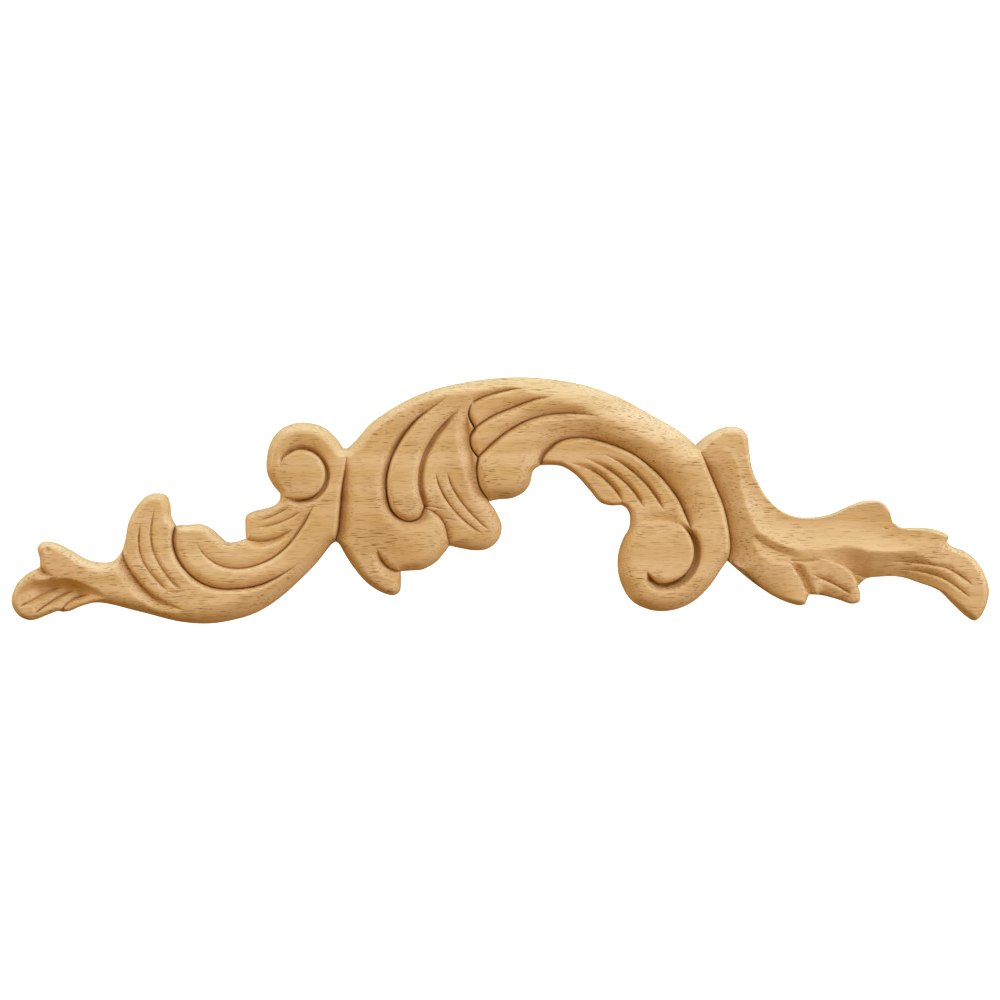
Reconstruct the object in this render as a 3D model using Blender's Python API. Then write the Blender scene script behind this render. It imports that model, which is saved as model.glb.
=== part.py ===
"""An acanthus applique carved from one piece of wood, lying against the wall at Y = 0 and facing -Y.

X runs along its length and Z is up. The origin is on the flat back, behind the arch's crown. The carving is
a height over that back: a broad surface whose edge rolls over, cut by strokes that part one leaf from the
next, and then by narrow veins. The pattern is drawn on its own grid, x to the right and y down, and only
two real sizes set its scale.
"""

from dataclasses import dataclass
from math import ceil

import bpy
import numpy as np
from mathutils.geometry import delaunay_2d_cdt

# Driving sizes, in metres.
LENGTH = 0.400
THICKNESS = 0.019
FACET = 0.0028

# The pattern's grid, read by eye off the reference picture in its 1000 x 1000 frame.
PATTERN_LEFT = 10.3
PATTERN_RIGHT = 989.0
PATTERN_ORIGIN = (499.5, 440.0)
CURVE_STEP = 2.0
LEVEL_REACH = 20.0

# Shares of the thickness: the edge's arris over the local level, and the lowest that any cut goes.
RIM_SHARE = 0.45
FLOOR_SHARE = 0.18

# One pattern unit in metres, a facet's length in units, and the most that a line turns in one, in radians.
UNIT = LENGTH / (PATTERN_RIGHT - PATTERN_LEFT)
FACET_STEP = FACET / UNIT
FACET_TURN = 0.45

# Spacing of the loose surface points, as shares of a facet, and how near two points are taken as one.
CLEAR_OF_LINE = 0.55
CELL_SHARE = 0.72
JOIN_WITHIN = 0.6

# In a BENCH cut, the share of the depth that the short wall takes, and of the width that it reaches.
WALL_SHARE = 0.4
WALL_REACH = 0.3

WOOD_COLOR = (0.62, 0.38, 0.16, 1.0)
WOOD_ROUGHNESS = 0.6


def curve(*points):
    """A centripetal Catmull-Rom curve through the points, in steps of about CURVE_STEP."""
    given = np.array(points, float)
    padded = np.vstack([2 * given[0] - given[1], given, 2 * given[-1] - given[-2]])
    pieces = []
    for p0, p1, p2, p3 in zip(padded, padded[1:], padded[2:], padded[3:]):
        t1, t2, t3 = np.cumsum([np.hypot(*(b - a)) ** 0.5 for a, b in ((p0, p1), (p1, p2), (p2, p3))])
        count = ceil((t2 - t1) ** 2 / CURVE_STEP)
        t = np.linspace(t1, t2, count, endpoint=False)[:, None]
        a1 = ((t1 - t) * p0 + t * p1) / t1
        a2 = ((t2 - t) * p1 + (t - t1) * p2) / (t2 - t1)
        a3 = ((t3 - t) * p2 + (t - t2) * p3) / (t3 - t2)
        b1 = ((t2 - t) * a1 + t * a2) / t2
        b2 = ((t3 - t) * a2 + (t - t1) * a3) / (t3 - t1)
        pieces.append(((t2 - t) * b1 + (t - t1) * b2) / (t2 - t1))
    return np.vstack(pieces + [given[-1:]])


def cornered(*stretches):
    """Curves joined end to end, with a corner where one meets the next."""
    return np.vstack([stretch[:-1] for stretch in stretches] + [stretches[-1][-1:]])


def arc(centre, radius, angles, count=9):
    """Points round a centre, each angle in degrees turning from +x towards +y."""
    turn = np.radians(np.linspace(*angles, count))
    return [(centre[0] + radius * c, centre[1] + radius * s) for c, s in zip(np.cos(turn), np.sin(turn))]


# Each stretch runs smoothly on to the first point of the next, and the outline turns a corner there.
OUTLINE = {
    "left leaf, upper lobe, and fin": [
        (39, 566), (38.6, 558), (36.5, 547), (42, 541.5), (54, 542.5), (71, 551), (85, 559), (100, 562),
        (112, 560.5), (120, 552), (124, 541), (128, 521), (135, 507), (145, 496), (155, 492.5), (165, 495),
        (168.5, 503), (170, 516)],
    "wave lobe": [(174.5, 525), (188, 524), (200, 523.7), (210, 528), (219, 536), (226, 541.5), (236, 541)],
    "small leaf": [
        (245, 538), (244.5, 525), (245.5, 515), (252, 511), (262, 508.5), (274, 504.5), (279, 499)],
    "left volute": [
        (279.5, 493), (272, 484), (266.5, 472), (266.3, 457), (270.5, 441), (280, 429), (293, 423),
        (308, 422.3), (323, 426.7), (335, 437.3)],
    "gap beside the left volute": [(342.5, 447.7)],
    "arch": [
        (347, 447.5), (355, 440), (370, 423), (382, 414), (400, 403), (420, 393.5), (440, 387),
        (470, 380.8), (500, 377.3), (530, 377), (560, 380), (590, 386.3), (620, 397.6), (650, 414),
        (680, 431.5)],
    "right branch": [
        (695, 444.5), (705, 436), (717, 429), (728, 426), (740, 427.5), (746.5, 434), (748.7, 450),
        (752, 469), (760, 487), (770, 501), (782, 511), (795, 516), (812, 517), (830, 514), (850, 505.3),
        (866, 500.2), (880, 501), (887.5, 508)],
    "wing": [(892, 521.5), (900, 526.7), (912, 527.5), (930, 528), (945, 533), (948, 536)],
    "end leaf": [
        (946.5, 541), (952, 546), (964, 550.5), (976, 560), (985, 575), (989, 590), (986, 606), (980, 617),
        (975, 620.3), (967, 616), (952, 602), (940, 590.5), (920, 582.5), (900, 576.5), (880, 576.3),
        (866, 578.5)],
    "leaflet b": [(858, 585.5), (860, 593), (859.5, 601), (852, 603.5), (840, 599.8), (822, 595)],
    "leaflet a": [
        (809, 594), (806.5, 599.5), (805, 603.5), (800, 605), (790, 602.9), (774.5, 596.2), (754.5, 583),
        (739.5, 571)],
    "right volute": [
        (727, 560), (720, 570), (708, 587), (693, 601), (677, 608.5), (660, 610.8), (645, 608), (632, 601),
        (623, 588), (618, 572), (618, 554), (623, 538), (629, 527), (629.5, 514), (626, 507.5)],
    "fluted leaf": [
        (621, 504.5), (610, 505), (600, 501.7), (590, 490.3), (575, 474), (562, 466), (551, 464.4)],
    "big finger": [(540, 464.8), (533, 470), (529.5, 483), (524, 491), (512, 497.5), (498, 499)],
    "middle lobe": [(488.5, 501), (495, 510), (501.3, 526), (498, 539), (488, 548), (475, 550), (461, 548)],
    "lower lobe": [(449, 545.3), (444, 552), (435, 562), (422, 569), (410, 570.2)],
    "hooked tip": [
        (400, 571), (400.2, 583), (399, 591), (394, 594.8), (383, 592.8), (367, 583), (353, 567),
        (344, 553), (338.5, 543.5)],
    "belly": [
        (335, 541), (331, 543.5), (315.5, 562.8), (300, 578.6), (283.5, 593.8), (269.3, 604.5), (254, 613),
        (236, 618.7), (210, 623), (180, 621.3), (140, 611.5), (97, 602.2), (80, 605.8), (68, 610.8)],
    "left leaf, shell": [
        (61.3, 611.6), (56, 611), (45, 615), (30, 620), (19, 616.5), (12, 608), (10.3, 598), (16, 583),
        (25, 574)],
}

# Places of the broad surface: x, y, its level as a share of the thickness, and how wide its edge rolls.
LEVELS = {
    "shell": [(20, 598, 0.50, 7), (45, 607, 0.50, 6), (68, 603, 0.52, 6)],
    "left leaf": [(48, 553, 0.58, 7), (75, 567, 0.64, 7), (100, 577, 0.69, 14), (125, 590, 0.73, 16)],
    "fin": [(152, 505, 0.66, 8), (145, 545, 0.72, 7), (165, 580, 0.80, 8)],
    "belly": [
        (160, 612, 0.74, 14), (195, 603, 0.85, 20), (240, 603, 0.90, 25), (285, 578, 0.90, 22),
        (312, 558, 0.90, 16), (328, 520, 0.90, 10)],
    "wave lobe": [(198, 535, 0.66, 8), (212, 570, 0.79, 8), (235, 555, 0.75, 8), (290, 545, 0.84, 8)],
    "small leaf": [(255, 521, 0.62, 6), (285, 513, 0.74, 7)],
    "left volute": [(301, 474, 0.88, 9), (283, 437, 0.86, 13), (330, 442, 0.86, 11), (333, 490, 0.88, 8)],
    "arch's foot": [(362, 445, 0.85, 12), (360, 500, 0.88, 11), (350, 530, 0.84, 11)],
    "hooked tip": [(390, 583, 0.58, 7), (370, 562, 0.74, 10)],
    "lower lobe": [(415, 545, 0.86, 12)],
    "nose": [(403, 485, 1.0, 8), (420, 440, 1.0, 8), (447, 402, 0.97, 12)],
    "middle lobe": [(450, 455, 0.76, 8), (455, 515, 0.68, 13), (482, 535, 0.62, 15), (462, 425, 0.82, 8)],
    "arch": [
        (490, 383, 0.97, 20), (560, 390, 1.0, 26), (620, 413, 1.0, 32), (670, 445, 0.98, 30),
        (702, 485, 0.95, 9), (713, 525, 0.92, 9), (708, 575, 0.90, 13)],
    "fingers": [(490, 412, 0.90, 8), (490, 437, 0.92, 8), (506, 470, 0.95, 15), (545, 437, 0.96, 8)],
    "fluted leaf": [(560, 457, 0.80, 3), (590, 468, 0.78, 3), (620, 492, 0.74, 3), (655, 500, 0.80, 6)],
    "right volute": [(650, 551, 0.86, 12), (630, 590, 0.84, 19), (670, 598, 0.86, 17)],
    "right branch": [
        (725, 440, 0.82, 6), (738, 500, 0.88, 5), (768, 537, 0.88, 5), (830, 549, 0.84, 4),
        (885, 549, 0.78, 3), (930, 549, 0.74, 4)],
    "leaflets": [(752, 566, 0.78, 10), (782, 588, 0.70, 7), (832, 580, 0.62, 4), (850, 595, 0.52, 4)],
    "wing": [(878, 508, 0.80, 4)],
    "end leaf": [
        (920, 575, 0.64, 5), (955, 556, 0.72, 6), (972, 571, 0.68, 7), (977, 595, 0.60, 7),
        (976, 612, 0.50, 7)],
}

LEFT_EYE = (301, 474)
LEFT_EYE_RADIUS = 25.2
RIGHT_EYE = (661.5, 551)
RIGHT_EYE_RADIUS = 32

# How a cut rises from its line to its shoulder.
ROUND = "a bulging wall"
SOFT = "a hollow that eases out at the top"
COVE = "a hollow that ends in an arris"
VEE = "a straight slope"
BENCH = "a short bulging wall, then a straight gentle slope"


@dataclass(frozen=True)
class Stroke:
    """A cut along a line: its depth, and its width and form to the left and right of the line's travel."""

    depth: float
    left: tuple
    right: tuple
    path: np.ndarray
    taper: tuple = (0.0, 0.0)


# Cuts that part one form from the next. Where two meet, the deeper one counts.
PARTINGS = {
    "lobe over shell": Stroke(
        0.16, (5, ROUND), (12, SOFT),
        curve((39, 562), (42, 568), (46, 572.5), (54, 576)), (0, 0.5)),
    "hollow of the shell": Stroke(
        0.29, (9, COVE), (26, SOFT),
        curve((18, 605), (22, 597), (31, 591), (45, 587.5), (60, 586.5), (75, 588.5), (90, 593), (106, 599),
              (122, 604)), (0.25, 0.5)),
    "fin over stem": Stroke(
        0.20, (4, ROUND), (14, SOFT),
        curve((122, 549), (127, 563), (136, 577), (147, 589), (162, 600), (178, 607), (191, 611)),
        (0, 0.4)),
    "deep line of the wave": Stroke(
        0.28, (11, ROUND), (5, ROUND),
        curve((174.5, 525), (172.5, 541), (177, 557), (186, 570), (199, 581), (216, 587.5), (235, 588.3),
              (261, 584), (287, 571), (308, 555.5)), (0, 0.35)),
    "long line of the wave": Stroke(
        0.17, (11, ROUND), (4, ROUND),
        curve((194.5, 539), (201, 550), (212, 560.5), (228, 567), (247, 567), (270, 559), (287, 546),
              (301, 528), (310, 513), (315.5, 502)), (0.3, 0.15)),
    "small leaf over wave": Stroke(
        0.14, (6, ROUND), (9, SOFT),
        curve((245, 538), (260, 540.5), (275, 537.5), (288, 531.5), (299, 527)), (0, 0.5)),
    "left volute's channel": Stroke(
        0.24, (6, SOFT), (3, ROUND),
        curve((280.3, 467), (284, 457), *arc(LEFT_EYE, LEFT_EYE_RADIUS, (-100, 60)), (303, 499), (289, 498),
              (281, 494.5)), (0.15, 0.15)),
    "hollow over the left eye": Stroke(
        0.22, (18, ROUND), (3, ROUND),
        curve((280.3, 467), (284, 457), *arc(LEFT_EYE, LEFT_EYE_RADIUS, (-100, 60)), (303, 499), (289, 498),
              (281, 494.5)), (0.3, 0.75)),
    "scroll against arch": Stroke(
        0.42, (18, ROUND), (4, ROUND),
        curve((347, 447.5), (345.5, 466), (342.3, 486), (340, 510), (338.2, 528), (335, 541)), (0.6, 0)),
    "arch's foot against nose": Stroke(
        0.32, (6, ROUND), (14, ROUND),
        curve((452, 393), (436, 404.5), (417, 419), (400, 440), (389, 464), (386, 485), (391, 509),
              (404, 520), (418, 518), (424, 507)), (0.35, 0)),
    "nose over middle lobe": Stroke(
        0.23, (6, SOFT), (8, ROUND),
        curve((463, 404), (450, 417), (432, 438.5), (421.5, 461), (419, 485), (424, 507)), (0.3, 0)),
    "lower lobe over middle lobe": Stroke(
        0.18, (16, ROUND), (5, ROUND),
        curve((424, 507), (436, 513.5), (444, 524), (449, 545.3))),
    "hooked tip under lower lobe": Stroke(
        0.21, (6, ROUND), (10, VEE),
        curve((376, 547), (381, 558), (390, 567.5), (400, 571)), (0.45, 0)),
    "fingers' ends": Stroke(
        0.34, (7, ROUND), (3, ROUND),
        cornered(
            curve((476, 399), (470.5, 404.5), (468, 415), (474, 428)),
            curve((474, 428), (469.5, 437), (471, 448), (477.5, 457)),
            curve((477.5, 457), (476, 468), (479, 486), (488.5, 501))), (0.25, 0)),
    "hollow beside the fingers": Stroke(
        0.16, (8, SOFT), (12, SOFT),
        curve((471, 402), (466, 420), (468, 445), (473, 470), (480, 492), (488.5, 501)), (0.3, 0)),
    "over the first finger": Stroke(
        0.15, (8, ROUND), (5, ROUND),
        curve((473, 401.5), (485, 396), (508, 390), (531, 387.5)), (0, 0.5)),
    "between the fingers": Stroke(
        0.20, (9, ROUND), (6, ROUND),
        curve((474, 428), (490, 417), (513, 407), (536, 399), (560, 395.5)), (0, 0.5)),
    "over the big finger": Stroke(
        0.24, (11, ROUND), (9, ROUND),
        curve((477.5, 457), (492, 443), (510, 429), (534, 417.5), (562, 413), (582, 414), (602, 417.5)),
        (0, 0.3)),
    "band over fluted leaf": Stroke(
        0.32, (24, ROUND), (4, ROUND),
        curve((540, 464.8), (543.5, 455), (550, 448), (558, 441.5), (570, 438), (582, 437.3), (596, 439.7),
              (610, 444), (623, 449), (633, 454), (644, 462), (657, 473.5), (667, 484.5), (677, 498.5),
              (683.5, 512), (689, 526.5), (691.7, 538)), (0, 0.12)),
    "right volute's channel": Stroke(
        0.34, (9, SOFT), (3, ROUND),
        curve(*arc(RIGHT_EYE, RIGHT_EYE_RADIUS, (-66, 95)), (652, 579), (645.5, 570)), (0.22, 0.1)),
    "step over the right eye": Stroke(
        0.06, (10, SOFT), (6, ROUND),
        curve((634, 523.5), (644, 520), (655, 518.8), (665, 519.8), (674.5, 522)), (0.5, 0)),
    "arch against right branch": Stroke(
        0.42, (32, BENCH), (5, ROUND),
        curve((695, 444.5), (703, 459), (713, 482), (723, 507), (728.5, 533), (729.5, 549), (727, 560)),
        (0.3, 0)),
    "cove of the branch": Stroke(
        0.20, (42, SOFT), (27, COVE),
        curve((741, 436), (743, 455), (748, 475), (757, 493), (769, 508), (784, 518), (802, 522.5),
              (826, 522), (850, 521), (872, 524), (892, 529.5), (912, 532), (932, 534), (944, 538)),
        (0.3, 0.25)),
    "below the crest's bend": Stroke(
        0.11, (8, VEE), (16, SOFT),
        curve((738, 516), (748, 531), (762, 543), (778, 551), (796, 556), (810, 557)), (0.4, 0.4)),
    "fall to the branch's underside": Stroke(
        0.40, (28, VEE), (3, ROUND),
        curve((815, 557), (833, 561), (845, 566), (856, 574), (868, 577.5), (880, 576.8), (900, 577),
              (920, 582.5), (940, 590.5), (952, 602), (967, 616)), (0.3, 0.5)),
    "fall of leaflet a to its edge": Stroke(
        0.30, (34, ROUND), (3, ROUND),
        curve((733, 560), (744, 572), (756, 583), (774.5, 596.2), (790, 602.9), (800, 605)), (0.25, 0.5)),
    "fall of leaflet b to its edge": Stroke(
        0.26, (26, ROUND), (3, ROUND),
        curve((813, 591), (824, 595), (840, 599.8), (852, 603.5)), (0.2, 0.3)),
    "leaflet a over leaflet b": Stroke(
        0.16, (10, SOFT), (3, ROUND),
        curve((787, 560.5), (796, 571), (802, 582), (807.5, 594)), (0.3, 0)),
    "leaflet b over branch": Stroke(
        0.13, (12, SOFT), (3, ROUND),
        curve((822, 559), (833, 561), (843, 565), (850.5, 572), (855.5, 579.5), (858, 585.5)), (0.3, 0)),
    "wing's end fold": Stroke(
        0.07, (4, SOFT), (9, SOFT),
        curve((946.5, 541), (943, 546.5), (940, 552)), (0, 0.8)),
}

# Narrow cuts, made last into whatever surface they cross.
VEINS = {
    "shell groove a": Stroke(
        0.13, (3, ROUND), (10, ROUND),
        curve((62, 587), (46, 591), (33, 598.5), (18, 607.5)), (0.3, 0.15)),
    "shell groove b": Stroke(
        0.15, (3, ROUND), (10, ROUND),
        curve((76, 589.5), (60, 595.5), (46, 604.5), (34, 613.5)), (0.3, 0.1)),
    "shell groove c": Stroke(
        0.15, (3, ROUND), (10, ROUND),
        curve((91, 594), (76, 597.5), (67, 603), (61, 611.5)), (0.3, 0)),
    "fin vein 1": Stroke(
        0.08, (3, VEE), (4, ROUND),
        curve((141, 519), (138.8, 540), (141, 555), (148, 568.5), (159, 581.5), (168, 591)), (0.25, 0.1)),
    "fin vein 2": Stroke(
        0.08, (3, VEE), (4, ROUND),
        curve((155.5, 504), (151, 529), (153, 549), (160, 564), (170, 578.5), (183, 591)), (0.25, 0.1)),
    "small leaf groove a": Stroke(
        0.06, (4, ROUND), (3, ROUND),
        curve((256, 521), (268, 517.5), (280, 512), (291, 506)), (0.3, 0.3)),
    "small leaf groove b": Stroke(
        0.07, (4, ROUND), (3, ROUND),
        curve((254, 527.5), (270, 525), (286, 519.5), (302, 510.5)), (0.3, 0.2)),
    "middle lobe vein 1": Stroke(
        0.09, (4, ROUND), (4, ROUND),
        curve((434.5, 470), (438.5, 485), (447, 501), (461, 517.5), (484, 535.5)), (0.2, 0.2)),
    "middle lobe vein 2": Stroke(
        0.09, (4, ROUND), (4, ROUND),
        curve((446, 470), (451, 485), (460, 500), (475, 517.5), (490, 531)), (0.2, 0.2)),
    "flute 1": Stroke(
        0.16, (4.5, VEE), (2.5, ROUND),
        curve((567, 462.5), (590, 469.5), (607, 482), (618, 495), (622, 504.5)), (0.4, 0.2)),
    "flute 2": Stroke(
        0.15, (4, VEE), (2.5, ROUND),
        curve((580, 456.5), (604, 467), (628, 486), (644, 508)), (0.4, 0.15)),
    "flute 3": Stroke(
        0.15, (4, VEE), (2.5, ROUND),
        curve((600, 453), (622, 464), (646, 485), (664, 511)), (0.4, 0.15)),
    "top of leaflet b": Stroke(
        0.05, (3, VEE), (4, ROUND),
        curve((787, 560.5), (804, 561), (822, 559)), (0.1, 0.4)),
    "leaflet b's vein": Stroke(
        0.11, (6, ROUND), (3, ROUND),
        curve((809, 573), (822, 578.5), (836, 585), (851, 594)), (0.3, 0.15)),
    "upper groove of the end leaf": Stroke(
        0.10, (6, ROUND), (3, ROUND),
        curve((880, 561.5), (900, 561.5), (915, 562.5), (930, 564.2), (943, 567), (953, 571.5), (963, 578),
              (973, 586)), (0.4, 0.12)),
    "lower groove of the end leaf": Stroke(
        0.10, (6, ROUND), (3, ROUND),
        curve((897, 569.5), (910, 570), (923, 571.7), (935, 575), (948, 581), (959, 589), (970, 598)),
        (0.4, 0.12)),
}


def outline_stretches():
    """The outline's stretches as curves, each ending where the next starts."""
    stretches = list(OUTLINE.values())
    followers = stretches[1:] + stretches[:1]
    return [curve(*own, follower[0]) for own, follower in zip(stretches, followers)]


def nearest_on(path, points):
    """Each point's distance to a path, the share of the path's length there, and its side, over 0 at left."""
    steps = np.diff(path, axis=0)
    lengths = np.hypot(steps[:, 0], steps[:, 1])
    starts = np.concatenate([[0], np.cumsum(lengths)])
    left = np.stack([steps[:, 1], -steps[:, 0]], axis=1) / lengths[:, None]
    corner_left = np.vstack([left[:1], left[1:] + left[:-1], left[-1:]])
    distance = np.full(len(points), np.inf)
    share = np.zeros(len(points))
    side = np.zeros(len(points))
    for place, (start, step, length) in enumerate(zip(path, steps, lengths)):
        offset = points - start
        along = np.clip(offset @ step / length**2, 0, 1)
        miss = offset - along[:, None] * step
        away = np.hypot(miss[:, 0], miss[:, 1])
        closer = away < distance
        facing = np.where((along == 0)[:, None], corner_left[place], left[place])
        facing = np.where((along == 1)[:, None], corner_left[place + 1], facing)
        distance[closer] = away[closer]
        share[closer] = (starts[place] + along[closer] * length) / starts[-1]
        side[closer] = (miss * facing).sum(1)[closer]
    return distance, share, side


def profile(form, reach):
    """The share of a cut's depth left at a share of its width: 1 on the line and 0 at the shoulder."""
    reach = np.clip(reach, 0, 1)
    if form == ROUND:
        return 1 - np.sqrt(1 - (1 - reach) ** 2)
    if form == SOFT:
        return 0.5 + 0.5 * np.cos(np.pi * reach)
    if form == COVE:
        return np.cos(np.pi / 2 * reach)
    if form == BENCH:
        return WALL_SHARE * profile(ROUND, reach / WALL_REACH) + (1 - WALL_SHARE) * (1 - reach)
    return 1 - reach


def eased(share):
    """A smooth step from 0 to 1."""
    share = np.clip(share, 0, 1)
    return share * share * (3 - 2 * share)


def fade_along(stroke, share):
    """How fully a stroke cuts at a share of its length, easing in and out over its tapers."""
    coming = eased(share / stroke.taper[0]) if stroke.taper[0] else 1
    going = eased((1 - share) / stroke.taper[1]) if stroke.taper[1] else 1
    return coming * going


def narrowed(fade):
    """A stroke's width, as a share of its full width, where it cuts less deep."""
    return 0.4 + 0.6 * fade


def cut_depth(stroke, points, outline):
    """How deep a stroke cuts at each point, as a share of the thickness.

    Past an end that isn't on the outline, only the narrower of its two sides counts.
    """
    reach = max(stroke.left[0], stroke.right[0])
    run_out = nearest_on(outline, stroke.path[[0, -1]])[0] < CURVE_STEP
    near = np.all((points > stroke.path.min(0) - reach) & (points < stroke.path.max(0) + reach), axis=1)
    depth = np.zeros(len(points))
    if near.any():
        distance, share, side = nearest_on(stroke.path, points[near])
        fade = fade_along(stroke, share) * np.ones(len(share))
        left = profile(stroke.left[1], distance / (stroke.left[0] * narrowed(fade)))
        right = profile(stroke.right[1], distance / (stroke.right[0] * narrowed(fade)))
        sided = np.where(side > 0, left, right)
        stopped = ((share == 0) & ~run_out[0]) | ((share == 1) & ~run_out[1])
        depth[near] = stroke.depth * fade * np.where(stopped, np.minimum(left, right), sided)
    return depth


def broad_surface(points):
    """The level and the edge roll's width at each point, blended from the nearest named places."""
    places = np.array([place for group in LEVELS.values() for place in group])
    squared = np.array([((points - place[:2]) ** 2).sum(1) for place in places])
    weight = np.exp(-(squared - squared.min(0)) / (2 * LEVEL_REACH**2))
    weight /= weight.sum(0)
    return places[:, 2] @ weight, places[:, 3] @ weight


def carved_height(points, outline):
    """The carving's height over the back at each point, as a share of the thickness."""
    level, roll = broad_surface(points)
    inward = nearest_on(outline, points)[0]
    height = level * (1 - (1 - RIM_SHARE) * profile(ROUND, inward / roll))
    for stroke in PARTINGS.values():
        height = np.minimum(height, level - cut_depth(stroke, points, outline))
    for stroke in VEINS.values():
        height = height - cut_depth(stroke, points, outline)
    return np.maximum(height, FLOOR_SHARE)


# Meshing.
def faceted(path):
    """Points along a path, closer together where it bends, with both of its ends kept."""
    steps = np.diff(path, axis=0)
    heading = np.unwrap(np.arctan2(steps[:, 1], steps[:, 0]))
    turns = np.abs(np.diff(heading, prepend=heading[0], append=heading[-1]))
    effort = np.hypot(steps[:, 0], steps[:, 1]) / FACET_STEP + (turns[1:] + turns[:-1]) / (2 * FACET_TURN)
    done = np.concatenate([[0], np.cumsum(effort)])
    wanted = np.linspace(0, done[-1], ceil(done[-1]) + 1)
    return np.stack([np.interp(wanted, done, path[:, axis]) for axis in (0, 1)], axis=1)


def shoulders(stroke):
    """Points along both sides of a stroke's line, halfway out and at its shoulders."""
    line = faceted(stroke.path)
    heading = np.gradient(line, axis=0)
    left = np.stack([heading[:, 1], -heading[:, 0]], axis=1) / np.hypot(heading[:, 0], heading[:, 1])[:, None]
    travelled = np.concatenate([[0], np.cumsum(np.hypot(*np.diff(line, axis=0).T))])
    width = narrowed(fade_along(stroke, travelled / travelled[-1]) * np.ones(len(line)))[:, None]
    return np.vstack([
        line + sign * share * reach * width * left
        for sign, (reach, _) in ((1, stroke.left), (-1, stroke.right))
        for share in (1.0, 0.5)
    ])


def hexagonal_points(low, high, step):
    """A hexagonal grid of points over a box."""
    rows = np.arange(low[1], high[1], step * 3**0.5 / 2)
    columns = np.arange(low[0], high[0], step)
    x, y = np.meshgrid(columns, rows)
    x = x + np.where(np.arange(len(rows)) % 2, step / 2, 0)[:, None]
    return np.stack([x.ravel(), y.ravel()], axis=1)


def inside_outline(points, outline):
    """Which points lie within the closed outline, by counting the sides that a ray to the right crosses."""
    crossings = np.zeros(len(points), int)
    for start, end in zip(outline, outline[1:]):
        spans = (start[1] > points[:, 1]) != (end[1] > points[:, 1])
        rise = end[1] - start[1]
        reached = start[0] + (points[:, 1] - start[1]) / (rise if rise else 1) * (end[0] - start[0])
        crossings += spans & (points[:, 0] < reached)
    return crossings % 2 == 1


def surface_points(outline, lines):
    """Loose points of the carved surface, clear of the outline and the lines and none crowded together."""
    strokes = [*PARTINGS.values(), *VEINS.values()]
    loose = np.vstack([*[shoulders(stroke) for stroke in strokes],
                       hexagonal_points(outline.min(0), outline.max(0), FACET_STEP)])
    loose = loose[inside_outline(loose, outline)]
    for path in [outline, *lines]:
        loose = loose[nearest_on(path, loose)[0] > CLEAR_OF_LINE * FACET_STEP]
    cells = np.floor(loose / (CELL_SHARE * FACET_STEP)).astype(int)
    first_in_cell = np.unique(cells, axis=0, return_index=True)[1]
    return loose[np.sort(first_in_cell)]


def triangulated(outline, lines):
    """A triangle mesh of the pattern, with edges along the outline and along every line."""
    points = [outline[:-1]]
    edges = [(k, (k + 1) % (len(outline) - 1)) for k in range(len(outline) - 1)]
    count = len(outline) - 1
    for line in lines:
        points.append(line)
        edges += [(count + k, count + k + 1) for k in range(len(line) - 1)]
        count += len(line)
    points.append(surface_points(outline, lines))
    found = delaunay_2d_cdt(np.vstack(points).tolist(), edges, [], 0, JOIN_WITHIN, True)
    flat = np.array([tuple(point) for point in found[0]])
    triangles = np.array(found[2])
    return flat, triangles[inside_outline(flat[triangles].mean(axis=1), outline)]


def rim_loop(triangles):
    """The triangles' border, as vertex numbers in order round it."""
    sides = np.concatenate([triangles[:, [0, 1]], triangles[:, [1, 2]], triangles[:, [2, 0]]])
    there = set(map(tuple, sides.tolist()))
    onward = {start: end for start, end in there if (end, start) not in there}
    loop = [min(onward)]
    while onward[loop[-1]] != loop[0]:
        loop.append(onward[loop[-1]])
    return loop


def carved_solid():
    """Vertices in metres and faces of the whole solid: carved front, upright edge and flat back."""
    stretches = [faceted(stretch) for stretch in outline_stretches()]
    outline = np.vstack([stretch[:-1] for stretch in stretches] + [stretches[0][:1]])
    lines = [faceted(stroke.path) for stroke in [*PARTINGS.values(), *VEINS.values()]]
    flat, triangles = triangulated(outline, lines)
    height = carved_height(flat, outline)
    height /= height.max()
    across = (flat - PATTERN_ORIGIN) * UNIT
    front = np.stack([across[:, 0], -height * THICKNESS, -across[:, 1]], axis=1)
    rim = rim_loop(triangles)
    back = front[rim] * (1, 0, 1)
    behind = list(range(len(front), len(front) + len(rim)))
    walls = [
        (start, below_start, below_end, end)
        for start, end, below_start, below_end in zip(rim, rim[1:] + rim[:1], behind, behind[1:] + behind[:1])
    ]
    faces = [tuple(triangle[::-1]) for triangle in triangles.tolist()]
    return np.vstack([front, back]), faces + [wall[::-1] for wall in walls] + [tuple(behind)]


def wood_material():
    """Pale bare wood."""
    material = bpy.data.materials.new("carved_wood")
    material.use_nodes = True
    shader = material.node_tree.nodes["Principled BSDF"]
    shader.inputs["Base Color"].default_value = WOOD_COLOR
    shader.inputs["Roughness"].default_value = WOOD_ROUGHNESS
    shader.inputs["Metallic"].default_value = 0.0
    return material


def build_applique(collection):
    """The carved piece, in its collection."""
    vertices, faces = carved_solid()
    mesh = bpy.data.meshes.new("acanthus_applique")
    mesh.from_pydata(vertices.tolist(), [], faces)
    mesh.materials.append(wood_material())
    applique = bpy.data.objects.new("acanthus_applique", mesh)
    collection.objects.link(applique)
    return applique


def main():
    for leftover in list(bpy.data.objects):
        bpy.data.objects.remove(leftover)
    collection = bpy.data.collections.new("acanthus_wood_applique")
    bpy.context.scene.collection.children.link(collection)
    build_applique(collection)


main()
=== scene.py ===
"""The looks of an acanthus applique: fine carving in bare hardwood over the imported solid, and its studio.

The carving repeats the part's own pattern, drawn on its grid with x to the right and y down, on a much finer
mesh. The wood's bands, vessels and fibres run along X, and they are worked out from the object's own
coordinates, so that they turn and bunch where a cut slopes through them.
"""

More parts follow.
